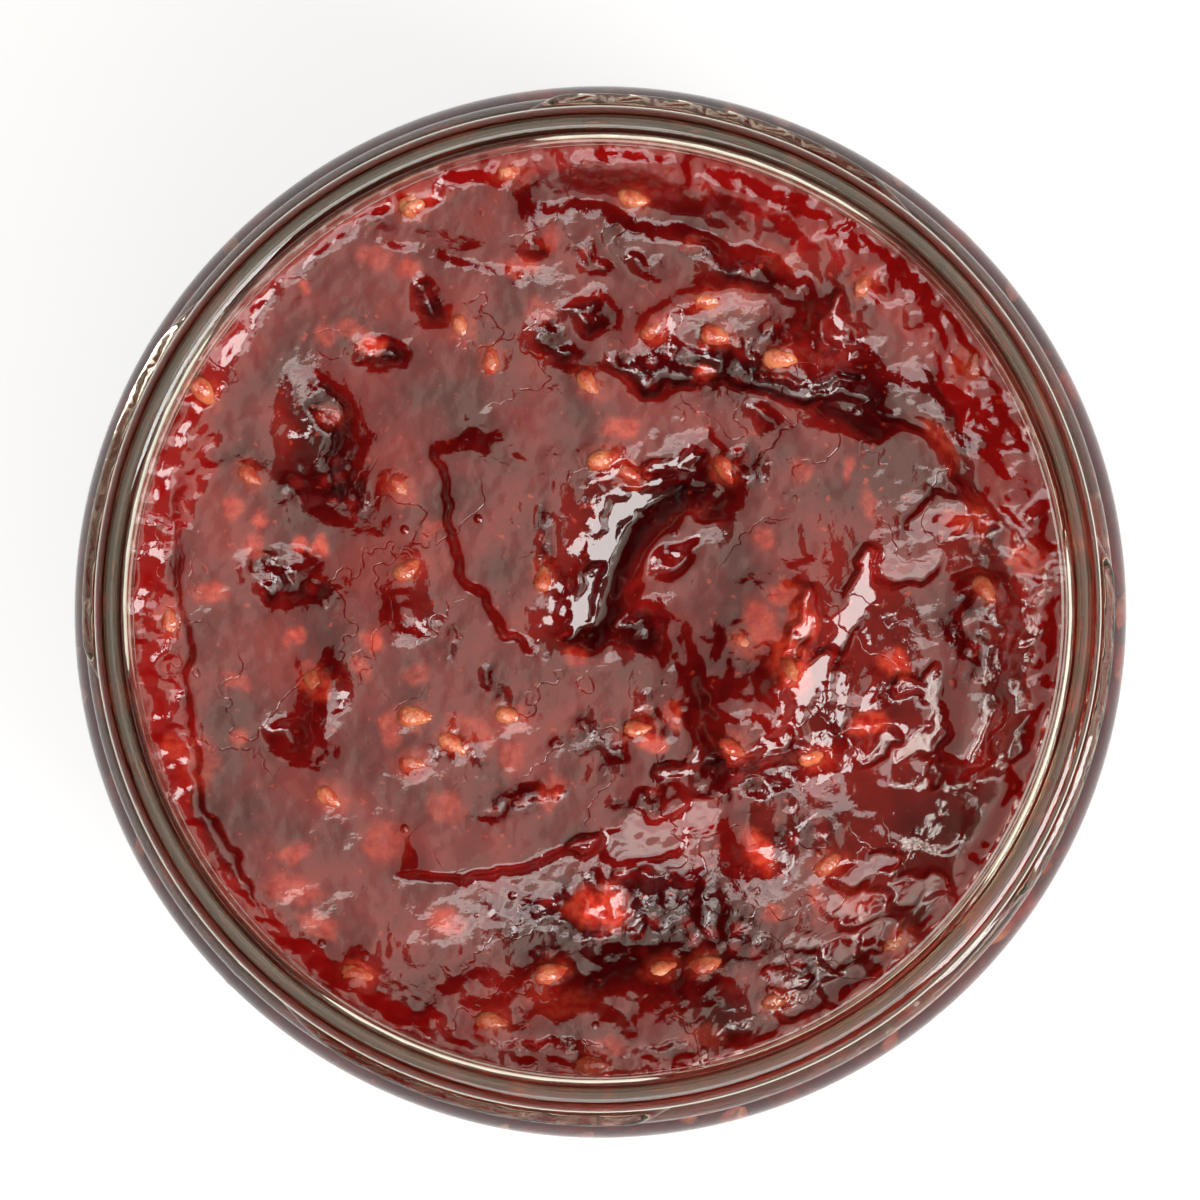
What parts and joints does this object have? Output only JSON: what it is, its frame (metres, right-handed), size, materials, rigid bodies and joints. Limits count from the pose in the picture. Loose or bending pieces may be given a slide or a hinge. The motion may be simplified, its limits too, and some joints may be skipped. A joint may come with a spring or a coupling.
{
  "type": "open glass jar of raspberry mostarda",
  "caption": "Squat wide-mouth clear glass jar with lug thread finish, open, filled to the neck with glossy spoon-swirled raspberry preserve",
  "frame": {"origin": "centre of the base, on the surface the jar stands on", "axes": "+Z up along the jar's axis; +X to the right and +Y up as seen from above with the blunt ends of the lugs at 10, 100, 190 and 280 degrees"},
  "size_m": [0.0856, 0.0856, 0.068],
  "materials": {
    "clear_glass": "clear, smooth, fire polished lip",
    "raspberry_mostarda": "wet glossy fruit jelly with seeds"
  },
  "bodies": {
    "root": {"jar_glass": "clear_glass", "mostarda": "raspberry_mostarda"}
  },
  "joints": []
}
